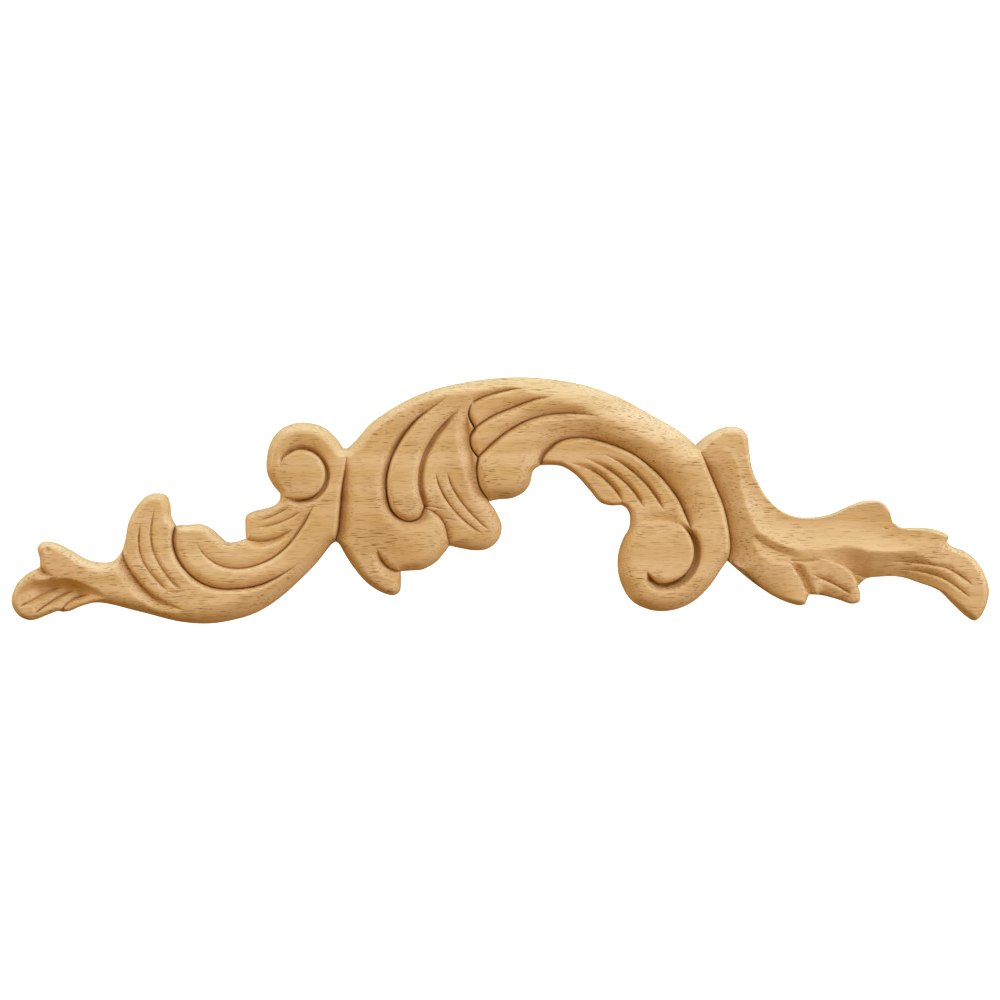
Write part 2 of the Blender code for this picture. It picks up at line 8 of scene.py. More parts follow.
import logging
from dataclasses import dataclass, field
from enum import Enum
from math import ceil, cos, radians, sin

import bpy
import numpy as np
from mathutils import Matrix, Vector
from mathutils.geometry import delaunay_2d_cdt


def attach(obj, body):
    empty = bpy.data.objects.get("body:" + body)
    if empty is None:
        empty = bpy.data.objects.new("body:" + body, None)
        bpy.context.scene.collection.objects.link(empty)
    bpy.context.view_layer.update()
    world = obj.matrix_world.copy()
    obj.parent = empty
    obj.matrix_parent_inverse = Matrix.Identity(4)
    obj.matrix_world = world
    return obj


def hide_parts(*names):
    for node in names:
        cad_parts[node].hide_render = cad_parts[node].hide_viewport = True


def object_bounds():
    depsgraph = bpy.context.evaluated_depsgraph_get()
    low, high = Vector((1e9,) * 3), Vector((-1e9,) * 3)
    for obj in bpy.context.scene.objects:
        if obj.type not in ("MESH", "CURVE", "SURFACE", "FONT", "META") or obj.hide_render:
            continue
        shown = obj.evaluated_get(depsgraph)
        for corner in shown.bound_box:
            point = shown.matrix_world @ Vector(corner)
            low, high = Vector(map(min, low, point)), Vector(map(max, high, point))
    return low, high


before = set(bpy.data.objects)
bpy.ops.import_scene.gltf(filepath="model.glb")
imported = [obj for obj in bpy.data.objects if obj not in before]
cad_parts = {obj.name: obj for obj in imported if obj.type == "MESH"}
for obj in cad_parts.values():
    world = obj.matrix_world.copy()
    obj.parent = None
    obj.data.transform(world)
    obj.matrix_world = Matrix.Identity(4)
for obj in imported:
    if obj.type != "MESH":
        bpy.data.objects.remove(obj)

# Arrays of points have one row for each.
Array = np.ndarray
Socket = bpy.types.NodeSocket
Pair = tuple[float, float]
Triple = tuple[float, float, float]
Colour = tuple[float, float, float, float]

LOG = logging.getLogger("acanthus applique")
NODE = "acanthus_applique"
CAD_LOW, CAD_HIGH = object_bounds()

# The pattern's grid, read off the reference picture in its 1000 x 1000 frame.
PATTERN_LEFT = 10.3
PATTERN_RIGHT = 989.0
PATTERN_ORIGIN = (499.5, 440.0)
PICTURE_SIZE = 1000
PICTURE_CENTRE = 499.5

# In units of the grid: a curve's step, how far a level spreads from its place, and how near the outline
# a stroke's end counts as on it. A path is searched in runs of RUN_STEPS steps, and an arc has ARC_POINTS.
CURVE_STEP = 1.4
LEVEL_REACH = 20.0
RUN_OUT = 2.0
RUN_STEPS = 12
ARC_POINTS = 9

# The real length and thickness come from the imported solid. A unit is a step of the pattern's grid, in metres.
LENGTH = CAD_HIGH[0] - CAD_LOW[0]
THICKNESS = CAD_HIGH[1] - CAD_LOW[1]
UNIT = LENGTH / (PATTERN_RIGHT - PATTERN_LEFT)

# Shares of the thickness: the edge's arris over the local level, and the lowest that any cut goes.
RIM_SHARE = 0.45
FLOOR_SHARE = 0.18

# In a BENCH cut, the share of the depth that the short wall takes, and of the width that it reaches.
WALL_SHARE = 0.4
WALL_REACH = 0.3

# The share of its width that a cut keeps where it fades out.
NARROWEST = 0.4

# How far the painted shade of a crease spreads from its line, in units, and the depth from which it is full.
CREASE_SHADE_WIDTH = 0.9
CREASE_SHADE_DEPTH = 0.3


class CutForm(Enum):
    """How a cut rises from its line to its shoulder."""

    ROUND = "a quarter circle, as a bulging wall"
    SOFT = "a half wave, as a hollow that eases out at the top"
    COVE = "a quarter wave, as a hollow that ends in an arris"
    VEE = "a straight slope"
    BENCH = "a straight slope with a narrow quarter circle added"

    def profile(self, reach: Array) -> Array:
        """The share of a cut's depth left at a share of its width: 1 on the line and 0 at the shoulder.

        Each form's own value says its formula in words.

        Args:
            reach: Shares of the cut's width.

        Returns:
            The shares of its depth.
        """
        reach = np.clip(reach, 0, 1)
        if self is CutForm.ROUND:
            return 1 - np.sqrt(1 - (1 - reach) ** 2)
        if self is CutForm.SOFT:
            return 0.5 + 0.5 * np.cos(np.pi * reach)
        if self is CutForm.COVE:
            return np.cos(np.pi / 2 * reach)
        if self is CutForm.BENCH:
            wall = CutForm.ROUND.profile(reach / WALL_REACH)
            return WALL_SHARE * wall + (1 - WALL_SHARE) * (1 - reach)
        return 1 - reach


ROUND, SOFT, COVE, VEE, BENCH = CutForm


def curve(*points: Pair) -> Array:
    """A centripetal Catmull-Rom curve through the points, in steps of about CURVE_STEP.

    Each piece between two points is blended from the straight lines through its four neighbours, by shares
    of a parameter that grows with the square root of the distance.

    Args:
        points: The places that the curve passes through, in order.

    Returns:
        The curve's points.
    """
    given = np.array(points, float)
    padded = np.vstack([2 * given[0] - given[1], given, 2 * given[-1] - given[-2]])
    pieces = []
    for p0, p1, p2, p3 in zip(padded, padded[1:], padded[2:], padded[3:]):
        t1, t2, t3 = np.cumsum([np.hypot(*(b - a)) ** 0.5 for a, b in ((p0, p1), (p1, p2), (p2, p3))])
        count = ceil((t2 - t1) ** 2 / CURVE_STEP)
        t = np.linspace(t1, t2, count, endpoint=False)[:, None]
        a1 = ((t1 - t) * p0 + t * p1) / t1
        a2 = ((t2 - t) * p1 + (t - t1) * p2) / (t2 - t1)
        a3 = ((t3 - t) * p2 + (t - t2) * p3) / (t3 - t2)
        b1 = ((t2 - t) * a1 + t * a2) / t2
        b2 = ((t3 - t) * a2 + (t - t1) * a3) / (t3 - t1)
        pieces.append(((t2 - t) * b1 + (t - t1) * b2) / (t2 - t1))
    return np.vstack(pieces + [given[-1:]])


def cornered(*stretches: Array) -> Array:
    """Curves joined end to end, with a corner where one meets the next."""
    return np.vstack([stretch[:-1] for stretch in stretches] + [stretches[-1][-1:]])


def arc(centre: Pair, radius: float, angles: Pair) -> list[Pair]:
    """ARC_POINTS places round a centre, each angle in degrees turning from +x towards +y."""
    turn = np.radians(np.linspace(*angles, ARC_POINTS))
    return [(centre[0] + radius * c, centre[1] + radius * s) for c, s in zip(np.cos(turn), np.sin(turn))]


def eased(share: Array) -> Array:
    """A smooth step from 0 to 1, by three squares less two cubes."""
    share = np.clip(share, 0, 1)
    return share * share * (3 - 2 * share)


def nearest_on(path: Array, points: Array, reach: float = np.inf) -> tuple[Array, Array, Array]:
    """Where each point lies by a path.

    The points near each short run of the path are dropped square onto its straight steps, and the shortest
    drop counts.

    Args:
        path: The path's own points.
        points: The points to place.
        reach: How far from the path a point is still placed. Further off, its distance is infinite.

    Returns:
        The distance to the path, the share of its length there, and the side, over 0 at left of its travel.
    """
    steps = np.diff(path, axis=0)
    lengths = np.hypot(steps[:, 0], steps[:, 1])
    starts = np.concatenate([[0], np.cumsum(lengths)])
    left = np.stack([steps[:, 1], -steps[:, 0]], axis=1) / lengths[:, None]
    corner_left = np.vstack([left[:1], left[1:] + left[:-1], left[-1:]])
    distance = np.full(len(points), np.inf)
    share = np.zeros(len(points))
    side = np.zeros(len(points))
    for first in range(0, len(steps), RUN_STEPS):
        run = slice(first, first + RUN_STEPS)
        ends = path[first:first + RUN_STEPS + 1]
        inside = (points > ends.min(0) - reach) & (points < ends.max(0) + reach)
        near = np.flatnonzero(np.all(inside, axis=1))
        if not len(near):
            continue
        offset = points[near, None] - path[:-1][run]
        along = np.clip((offset * steps[run]).sum(2) / lengths[run] ** 2, 0, 1)
        miss = offset - along[..., None] * steps[run]
        away = np.hypot(miss[..., 0], miss[..., 1])
        best = (np.arange(len(near)), away.argmin(1))
        closer = away[best] < distance[near]
        rows, chosen = near[closer], tuple(index[closer] for index in best)
        step = first + chosen[1]
        here = along[chosen]
        facing = np.where((here == 0)[:, None], corner_left[step], left[step])
        facing = np.where((here == 1)[:, None], corner_left[step + 1], facing)
        distance[rows] = away[chosen]
        share[rows] = (starts[step] + here * lengths[step]) / starts[-1]
        side[rows] = (miss[chosen] * facing).sum(1)
    return distance, share, side


@dataclass(frozen=True)
class Stroke:
    """A cut along a line: its depth, and its width and form to the left and right of the line's travel."""

    depth: float
    left: tuple[float, CutForm]
    right: tuple[float, CutForm]
    path: Array
    taper: Pair = (0.0, 0.0)

    def is_sharp(self) -> bool:
        """Whether the line is a crease, and not the bottom of a hollow."""
        return not {self.left[1], self.right[1]} <= {SOFT, COVE}

    def fade(self, share: Array) -> Array:
        """How fully the stroke cuts, as it eases in and out over its tapers.

        Args:
            share: Shares of its length.

        Returns:
            The shares of its depth that it cuts there.
        """
        coming = eased(share / self.taper[0]) if self.taper[0] else 1
        going = eased((1 - share) / self.taper[1]) if self.taper[1] else 1
        return coming * going * np.ones_like(share)

    def cut(self, points: Array, outline: Array) -> tuple[Array, Array]:
        """How deep the stroke cuts at each point, and how much painted shade darkens the point near its line.

        The width narrows with the depth. Past an end that isn't on the outline, only the narrower of the two
        sides counts.

        Args:
            points: Places in the pattern.
            outline: The closed outline.

        Returns:
            The depths as shares of the thickness, and the painted shade of the crease from 0 to 1.
        """
        run_out = nearest_on(outline, self.path[[0, -1]])[0] < RUN_OUT
        distance, share, side = nearest_on(self.path, points, max(self.left[0], self.right[0]))
        fade = self.fade(share)
        width = NARROWEST + (1 - NARROWEST) * fade
        left = self.left[1].profile(distance / (self.left[0] * width))
        right = self.right[1].profile(distance / (self.right[0] * width))
        stopped = ((share == 0) & ~run_out[0]) | ((share == 1) & ~run_out[1])
        sided = np.where(side > 0, left, right)
        # Painted shade: the wood is darkened along a sharp line's bottom, where shade falls in the crease.
        crease = np.exp(-((distance / CREASE_SHADE_WIDTH) ** 2)) * min(1, self.depth / CREASE_SHADE_DEPTH)
        crease *= fade * self.is_sharp()
        return self.depth * fade * np.where(stopped, np.minimum(left, right), sided), crease


# Each stretch runs smoothly on to the first point of the next, and the outline turns a corner there.
OUTLINE: dict[str, list[Pair]] = {
    "left leaf, upper lobe, and fin": [
        (39, 566), (38.6, 558), (36.5, 547), (42, 541.5), (54, 542.5), (71, 551), (85, 559), (100, 562),
        (112, 560.5), (120, 552), (124, 541), (128, 521), (135, 507), (145, 496), (155, 492.5), (165, 495),
        (168.5, 503), (170, 516)],
    "wave lobe": [(174.5, 525), (188, 524), (200, 523.7), (210, 528), (219, 536), (226, 541.5), (236, 541)],
    "small leaf": [
        (245, 538), (244.5, 525), (245.5, 515), (252, 511), (262, 508.5), (274, 504.5), (279, 499)],
    "left volute": [
        (279.5, 493), (272, 484), (266.5, 472), (266.3, 457), (270.5, 441), (280, 429), (293, 423),
        (308, 422.3), (323, 426.7), (335, 437.3)],
    "gap beside the left volute": [(342.5, 447.7)],
    "arch": [
        (347, 447.5), (355, 440), (370, 423), (382, 414), (400, 403), (420, 393.5), (440, 387),
        (470, 380.8), (500, 377.3), (530, 377), (560, 380), (590, 386.3), (620, 397.6), (650, 414),
        (680, 431.5)],
    "right branch": [
        (695, 444.5), (705, 436), (717, 429), (728, 426), (740, 427.5), (746.5, 434), (748.7, 450),
        (752, 469), (760, 487), (770, 501), (782, 511), (795, 516), (812, 517), (830, 514), (850, 505.3),
        (866, 500.2), (880, 501), (887.5, 508)],
    "wing": [(892, 521.5), (900, 526.7), (912, 527.5), (930, 528), (945, 533), (948, 536)],
    "end leaf": [
        (946.5, 541), (952, 546), (964, 550.5), (976, 560), (985, 575), (989, 590), (986, 606), (980, 617),
        (975, 620.3), (967, 616), (952, 602), (940, 590.5), (920, 582.5), (900, 576.5), (880, 576.3),
        (866, 578.5)],
    "leaflet b": [(858, 585.5), (860, 593), (859.5, 601), (852, 603.5), (840, 599.8), (822, 595)],
    "leaflet a": [
        (809, 594), (806.5, 599.5), (805, 603.5), (800, 605), (790, 602.9), (774.5, 596.2), (754.5, 583),
        (739.5, 571)],
    "right volute": [
        (727, 560), (720, 570), (708, 587), (693, 601), (677, 608.5), (660, 610.8), (645, 608), (632, 601),
        (623, 588), (618, 572), (618, 554), (623, 538), (629, 527), (629.5, 514), (626, 507.5)],
    "fluted leaf": [
        (621, 504.5), (610, 505), (600, 501.7), (590, 490.3), (575, 474), (562, 466), (551, 464.4)],
    "big finger": [(540, 464.8), (533, 470), (529.5, 483), (524, 491), (512, 497.5), (498, 499)],
    "middle lobe": [(488.5, 501), (495, 510), (501.3, 526), (498, 539), (488, 548), (475, 550), (461, 548)],
    "lower lobe": [(449, 545.3), (444, 552), (435, 562), (422, 569), (410, 570.2)],
    "hooked tip": [
        (400, 571), (400.2, 583), (399, 591), (394, 594.8), (383, 592.8), (367, 583), (353, 567),
        (344, 553), (338.5, 543.5)],
    "belly": [
        (335, 541), (331, 543.5), (315.5, 562.8), (300, 578.6), (283.5, 593.8), (269.3, 604.5), (254, 613),
        (236, 618.7), (210, 623), (180, 621.3), (140, 611.5), (97, 602.2), (80, 605.8), (68, 610.8)],
    "left leaf, shell": [
        (61.3, 611.6), (56, 611), (45, 615), (30, 620), (19, 616.5), (12, 608), (10.3, 598), (16, 583),
        (25, 574)],
}

# Places of the broad surface: x, y, its level as a share of the thickness, and how wide its edge rolls.
LEVELS: dict[str, list[tuple[float, float, float, float]]] = {
    "shell": [(20, 598, 0.50, 7), (45, 607, 0.50, 6), (68, 603, 0.52, 6)],
    "left leaf": [(48, 553, 0.58, 7), (75, 567, 0.64, 7), (100, 577, 0.69, 14), (125, 590, 0.73, 16)],
    "fin": [(152, 505, 0.66, 8), (145, 545, 0.72, 7), (165, 580, 0.80, 8)],
    "belly": [
        (160, 612, 0.74, 14), (195, 603, 0.85, 20), (240, 603, 0.90, 25), (285, 578, 0.90, 22),
        (312, 558, 0.90, 16), (328, 520, 0.90, 10)],
    "wave lobe": [(198, 535, 0.66, 8), (212, 570, 0.79, 8), (235, 555, 0.75, 8), (290, 545, 0.84, 8)],
    "small leaf": [(255, 521, 0.62, 6), (285, 513, 0.74, 7)],
    "left volute": [(301, 474, 0.88, 9), (283, 437, 0.86, 13), (330, 442, 0.86, 11), (333, 490, 0.88, 8)],
    "arch's foot": [(362, 445, 0.85, 12), (360, 500, 0.88, 11), (350, 530, 0.84, 11)],
    "hooked tip": [(390, 583, 0.58, 7), (370, 562, 0.74, 10)],
    "lower lobe": [(415, 545, 0.86, 12)],
    "nose": [(403, 485, 1.0, 8), (420, 440, 1.0, 8), (447, 402, 0.97, 12)],
    "middle lobe": [(450, 455, 0.76, 8), (455, 515, 0.68, 13), (482, 535, 0.62, 15), (462, 425, 0.82, 8)],
    "arch": [
        (490, 383, 0.97, 20), (560, 390, 1.0, 26), (620, 413, 1.0, 32), (670, 445, 0.98, 30),
        (702, 485, 0.95, 9), (713, 525, 0.92, 9), (708, 575, 0.90, 13)],
    "fingers": [(490, 412, 0.90, 8), (490, 437, 0.92, 8), (506, 470, 0.95, 15), (545, 437, 0.96, 8)],
    "fluted leaf": [(560, 457, 0.80, 3), (590, 468, 0.78, 3), (620, 492, 0.74, 3), (655, 500, 0.80, 6)],
    "right volute": [(650, 551, 0.86, 12), (630, 590, 0.84, 19), (670, 598, 0.86, 17)],
    "right branch": [
        (725, 440, 0.82, 6), (738, 500, 0.88, 5), (768, 537, 0.88, 5), (830, 549, 0.84, 4),
        (885, 549, 0.78, 3), (930, 549, 0.74, 4)],
    "leaflets": [(752, 566, 0.78, 10), (782, 588, 0.70, 7), (832, 580, 0.62, 4), (850, 595, 0.52, 4)],
    "wing": [(878, 508, 0.80, 4)],
    "end leaf": [
        (920, 575, 0.64, 5), (955, 556, 0.72, 6), (972, 571, 0.68, 7), (977, 595, 0.60, 7),
        (976, 612, 0.50, 7)],
}

LEFT_EYE = (301, 474)
LEFT_EYE_RADIUS = 25.2
RIGHT_EYE = (661.5, 551)
RIGHT_EYE_RADIUS = 32

# The channel round the left eye, which two cuts follow.
LEFT_CHANNEL = curve((280.3, 467), (284, 457), *arc(LEFT_EYE, LEFT_EYE_RADIUS, (-100, 60)), (303, 499),
                     (289, 498), (281, 494.5))

# Cuts that part one form from the next. Where two meet, the deeper one counts.
PARTINGS: dict[str, Stroke] = {
    "lobe over shell": Stroke(0.16, (5, ROUND), (12, SOFT), curve(
        (39, 562), (42, 568), (46, 572.5), (54, 576)), (0, 0.5)),
    "hollow of the shell": Stroke(0.29, (9, COVE), (26, SOFT), curve(
        (18, 605), (22, 597), (31, 591), (45, 587.5), (60, 586.5), (75, 588.5), (90, 593), (106, 599),
        (122, 604)), (0.25, 0.5)),
    "fin over stem": Stroke(0.20, (4, ROUND), (14, SOFT), curve(
        (122, 549), (127, 563), (136, 577), (147, 589), (162, 600), (178, 607), (191, 611)), (0, 0.4)),
    "deep line of the wave": Stroke(0.28, (11, ROUND), (5, ROUND), curve(
        (174.5, 525), (172.5, 541), (177, 557), (186, 570), (199, 581), (216, 587.5), (235, 588.3),
        (261, 584), (287, 571), (308, 555.5)), (0, 0.35)),
    "long line of the wave": Stroke(0.17, (11, ROUND), (4, ROUND), curve(
        (194.5, 539), (201, 550), (212, 560.5), (228, 567), (247, 567), (270, 559), (287, 546), (301, 528),
        (310, 513), (315.5, 502)), (0.3, 0.15)),
    "small leaf over wave": Stroke(0.14, (6, ROUND), (9, SOFT), curve(
        (245, 538), (260, 540.5), (275, 537.5), (288, 531.5), (299, 527)), (0, 0.5)),
    "left volute's channel": Stroke(0.24, (6, SOFT), (3, ROUND), LEFT_CHANNEL, (0.15, 0.15)),
    "hollow over the left eye": Stroke(0.22, (18, ROUND), (3, ROUND), LEFT_CHANNEL, (0.3, 0.75)),
    "scroll against arch": Stroke(0.42, (18, ROUND), (4, ROUND), curve(
        (347, 447.5), (345.5, 466), (342.3, 486), (340, 510), (338.2, 528), (335, 541)), (0.6, 0)),
    "arch's foot against nose": Stroke(0.32, (6, ROUND), (14, ROUND), curve(
        (452, 393), (436, 404.5), (417, 419), (400, 440), (389, 464), (386, 485), (391, 509), (404, 520),
        (418, 518), (424, 507)), (0.35, 0)),
    "nose over middle lobe": Stroke(0.23, (6, SOFT), (8, ROUND), curve(
        (463, 404), (450, 417), (432, 438.5), (421.5, 461), (419, 485), (424, 507)), (0.3, 0)),
    "lower lobe over middle lobe": Stroke(0.18, (16, ROUND), (5, ROUND), curve(
        (424, 507), (436, 513.5), (444, 524), (449, 545.3))),
    "hooked tip under lower lobe": Stroke(0.21, (6, ROUND), (10, VEE), curve(
        (376, 547), (381, 558), (390, 567.5), (400, 571)), (0.45, 0)),
    "fingers' ends": Stroke(0.34, (7, ROUND), (3, ROUND), cornered(
        curve((476, 399), (470.5, 404.5), (468, 415), (474, 428)),
        curve((474, 428), (469.5, 437), (471, 448), (477.5, 457)),
        curve((477.5, 457), (476, 468), (479, 486), (488.5, 501))), (0.25, 0)),
    "hollow beside the fingers": Stroke(0.16, (8, SOFT), (12, SOFT), curve(
        (471, 402), (466, 420), (468, 445), (473, 470), (480, 492), (488.5, 501)), (0.3, 0)),
    "over the first finger": Stroke(0.15, (8, ROUND), (5, ROUND), curve(
        (473, 401.5), (485, 396), (508, 390), (531, 387.5)), (0, 0.5)),
    "between the fingers": Stroke(0.20, (9, ROUND), (6, ROUND), curve(
        (474, 428), (490, 417), (513, 407), (536, 399), (560, 395.5)), (0, 0.5)),
    "over the big finger": Stroke(0.24, (11, ROUND), (9, ROUND), curve(
        (477.5, 457), (492, 443), (510, 429), (534, 417.5), (562, 413), (582, 414), (602, 417.5)), (0, 0.3)),
    "band over fluted leaf": Stroke(0.32, (24, ROUND), (4, ROUND), curve(
        (540, 464.8), (543.5, 455), (550, 448), (558, 441.5), (570, 438), (582, 437.3), (596, 439.7),
        (610, 444), (623, 449), (633, 454), (644, 462), (657, 473.5), (667, 484.5), (677, 498.5),
        (683.5, 512), (689, 526.5), (691.7, 538)), (0, 0.12)),
    "right volute's channel": Stroke(0.34, (9, SOFT), (3, ROUND), curve(
        *arc(RIGHT_EYE, RIGHT_EYE_RADIUS, (-66, 95)), (652, 579), (645.5, 570)), (0.22, 0.1)),
    "step over the right eye": Stroke(0.06, (10, SOFT), (6, ROUND), curve(
        (634, 523.5), (644, 520), (655, 518.8), (665, 519.8), (674.5, 522)), (0.5, 0)),
    "arch against right branch": Stroke(0.42, (32, BENCH), (5, ROUND), curve(
        (695, 444.5), (703, 459), (713, 482), (723, 507), (728.5, 533), (729.5, 549), (727, 560)), (0.3, 0)),
    "cove of the branch": Stroke(0.20, (42, SOFT), (27, COVE), curve(
        (741, 436), (743, 455), (748, 475), (757, 493), (769, 508), (784, 518), (802, 522.5), (826, 522),
        (850, 521), (872, 524), (892, 529.5), (912, 532), (932, 534), (944, 538)), (0.3, 0.25)),
    "below the crest's bend": Stroke(0.11, (8, VEE), (16, SOFT), curve(
        (738, 516), (748, 531), (762, 543), (778, 551), (796, 556), (810, 557)), (0.4, 0.4)),
    "fall to the branch's underside": Stroke(0.40, (28, VEE), (3, ROUND), curve(
        (815, 557), (833, 561), (845, 566), (856, 574), (868, 577.5), (880, 576.8), (900, 577), (920, 582.5),
        (940, 590.5), (952, 602), (967, 616)), (0.3, 0.5)),
    "fall of leaflet a to its edge": Stroke(0.30, (34, ROUND), (3, ROUND), curve(
        (733, 560), (744, 572), (756, 583), (774.5, 596.2), (790, 602.9), (800, 605)), (0.25, 0.5)),
    "fall of leaflet b to its edge": Stroke(0.26, (26, ROUND), (3, ROUND), curve(
        (813, 591), (824, 595), (840, 599.8), (852, 603.5)), (0.2, 0.3)),
    "leaflet a over leaflet b": Stroke(0.16, (10, SOFT), (3, ROUND), curve(
        (787, 560.5), (796, 571), (802, 582), (807.5, 594)), (0.3, 0)),
    "leaflet b over branch": Stroke(0.13, (12, SOFT), (3, ROUND), curve(
        (822, 559), (833, 561), (843, 565), (850.5, 572), (855.5, 579.5), (858, 585.5)), (0.3, 0)),
    "wing's end fold": Stroke(0.07, (4, SOFT), (9, SOFT), curve(
        (946.5, 541), (943, 546.5), (940, 552)), (0, 0.8)),
}

# Narrow cuts, made last into whatever surface they cross.
VEINS: dict[str, Stroke] = {
    "shell groove a": Stroke(0.13, (3, ROUND), (10, ROUND), curve(
        (62, 587), (46, 591), (33, 598.5), (18, 607.5)), (0.3, 0.15)),
    "shell groove b": Stroke(0.15, (3, ROUND), (10, ROUND), curve(
        (76, 589.5), (60, 595.5), (46, 604.5), (34, 613.5)), (0.3, 0.1)),
    "shell groove c": Stroke(0.15, (3, ROUND), (10, ROUND), curve(
        (91, 594), (76, 597.5), (67, 603), (61, 611.5)), (0.3, 0)),
    "fin vein 1": Stroke(0.08, (3, VEE), (4, ROUND), curve(
        (141, 519), (138.8, 540), (141, 555), (148, 568.5), (159, 581.5), (168, 591)), (0.25, 0.1)),
    "fin vein 2": Stroke(0.08, (3, VEE), (4, ROUND), curve(
        (155.5, 504), (151, 529), (153, 549), (160, 564), (170, 578.5), (183, 591)), (0.25, 0.1)),
    "small leaf groove a": Stroke(0.06, (4, ROUND), (3, ROUND), curve(
        (256, 521), (268, 517.5), (280, 512), (291, 506)), (0.3, 0.3)),
    "small leaf groove b": Stroke(0.07, (4, ROUND), (3, ROUND), curve(
        (254, 527.5), (270, 525), (286, 519.5), (302, 510.5)), (0.3, 0.2)),
    "middle lobe vein 1": Stroke(0.09, (4, ROUND), (4, ROUND), curve(
        (434.5, 470), (438.5, 485), (447, 501), (461, 517.5), (484, 535.5)), (0.2, 0.2)),
    "middle lobe vein 2": Stroke(0.09, (4, ROUND), (4, ROUND), curve(
        (446, 470), (451, 485), (460, 500), (475, 517.5), (490, 531)), (0.2, 0.2)),
    "flute 1": Stroke(0.16, (4.5, VEE), (2.5, ROUND), curve(
        (567, 462.5), (590, 469.5), (607, 482), (618, 495), (622, 504.5)), (0.4, 0.2)),
    "flute 2": Stroke(0.15, (4, VEE), (2.5, ROUND), curve(
        (580, 456.5), (604, 467), (628, 486), (644, 508)), (0.4, 0.15)),
    "flute 3": Stroke(0.15, (4, VEE), (2.5, ROUND), curve(
        (600, 453), (622, 464), (646, 485), (664, 511)), (0.4, 0.15)),
    "top of leaflet b": Stroke(0.05, (3, VEE), (4, ROUND), curve(
        (787, 560.5), (804, 561), (822, 559)), (0.1, 0.4)),
    "leaflet b's vein": Stroke(0.11, (6, ROUND), (3, ROUND), curve(
        (809, 573), (822, 578.5), (836, 585), (851, 594)), (0.3, 0.15)),
    "upper groove of the end leaf": Stroke(0.10, (6, ROUND), (3, ROUND), curve(
        (880, 561.5), (900, 561.5), (915, 562.5), (930, 564.2), (943, 567), (953, 571.5), (963, 578),
        (973, 586)), (0.4, 0.12)),
    "lower groove of the end leaf": Stroke(0.10, (6, ROUND), (3, ROUND), curve(
        (897, 569.5), (910, 570), (923, 571.7), (935, 575), (948, 581), (959, 589), (970, 598)), (0.4, 0.12)),
}

# Small tool marks, too fine for the part's own faces.
MARKS: dict[str, Stroke] = {
    "crease under the nose": Stroke(0.05, (2.5, ROUND), (3, ROUND), curve(
        (424, 505.5), (432, 506.5), (440, 508), (449, 509)), (0, 0.5)),
    "nick beside the lower lobe": Stroke(0.03, (2, ROUND), (2, ROUND), curve(
        (440, 517), (449, 518.5), (458, 520)), (0.4, 0.4)),
    "nick between the lobe's veins": Stroke(0.03, (2, ROUND), (2, ROUND), curve(
        (465, 510), (471.5, 511.5), (478, 513)), (0.4, 0.4)),
    "gouge mark at the fin's foot": Stroke(0.04, (2.5, ROUND), (2, ROUND), curve(
        (166, 591), (175, 591.5), (184, 591)), (0.4, 0.4)),
    "faint line of the small leaf": Stroke(0.03, (3, ROUND), (2, ROUND), curve(
        (277, 530.5), (284, 530), (291, 528)), (0.4, 0.4)),
    "dimple of the upper left lobe": Stroke(0.05, (6, SOFT), (6, SOFT), curve(
        (43, 549), (48, 549.5), (53, 550.5)), (0.4, 0.4)),
    "nick under the wing": Stroke(0.03, (2, ROUND), (2, ROUND), curve(
        (881, 528), (884, 528), (888, 528.5)), (0.4, 0.4)),
}

STROKES = PARTINGS | VEINS | MARKS


def hexagonal_points(low: Array, high: Array, step: float) -> Array:
    """A hexagonal grid of points over a box, its every other row half a step along.

    Args:
        low: The box's lowest corner.
        high: Its highest corner.
        step: How far apart the points are.

    Returns:
        The points.
    """
    rows = np.arange(low[1], high[1], step * 3**0.5 / 2)
    columns = np.arange(low[0], high[0], step)
    x, y = np.meshgrid(columns, rows)
    x = x + np.where(np.arange(len(rows)) % 2, step / 2, 0)[:, None]
    return np.stack([x.ravel(), y.ravel()], axis=1)


def inside_outline(points: Array, outline: Array) -> Array:
    """Which points lie within an outline, by counting the sides that a ray to the right crosses.

    Args:
        points: The points.
        outline: The outline, its last point the same as its first.

    Returns:
        Whether each point is inside.
    """
    crossings = np.zeros(len(points), int)
    for start, end in zip(outline, outline[1:]):
        spans = (start[1] > points[:, 1]) != (end[1] > points[:, 1])
        rise = end[1] - start[1]
        reached = start[0] + (points[:, 1] - start[1]) / (rise if rise else 1) * (end[0] - start[0])
        crossings += spans & (points[:, 0] < reached)
    return crossings % 2 == 1


def triangulated(outline: Array, lines: list[Array], loose: Array,
                 join_within: float) -> tuple[Array, Array]:
    """A Delaunay triangulation inside an outline, with edges along it and along every line.

    Args:
        outline: The closed outline, its last point the same as its first.
        lines: Open lines inside it.
        loose: Further points inside it.
        join_within: How near two points are taken as one.

    Returns:
        The points, and the triangles as rows of three of their numbers.
    """
    points = np.vstack([outline[:-1], *lines, loose])
    count = len(outline) - 1
    edges = [(k, (k + 1) % count) for k in range(count)]
    for line in lines:
        edges += [(count + k, count + k + 1) for k in range(len(line) - 1)]
        count += len(line)
    found = delaunay_2d_cdt(points.tolist(), edges, [], 0, join_within, True)
    flat = np.array([tuple(point) for point in found[0]])
    triangles = np.array(found[2])
    return flat, triangles[inside_outline(flat[triangles].mean(axis=1), outline)]


def rim_loop(triangles: Array) -> Array:
    """The border of a patch of triangles: their sides that no other triangle shares, end to end.

    Args:
        triangles: Rows of three point numbers.

    Returns:
        The border's point numbers, in order round it.
    """
    sides = np.concatenate([triangles[:, [0, 1]], triangles[:, [1, 2]], triangles[:, [2, 0]]])
    there = set(map(tuple, sides.tolist()))
    onward = {start: end for start, end in there if (end, start) not in there}
    loop = [min(onward)]
    while onward[loop[-1]] != loop[0]:
        loop.append(onward[loop[-1]])
    return np.array(loop)


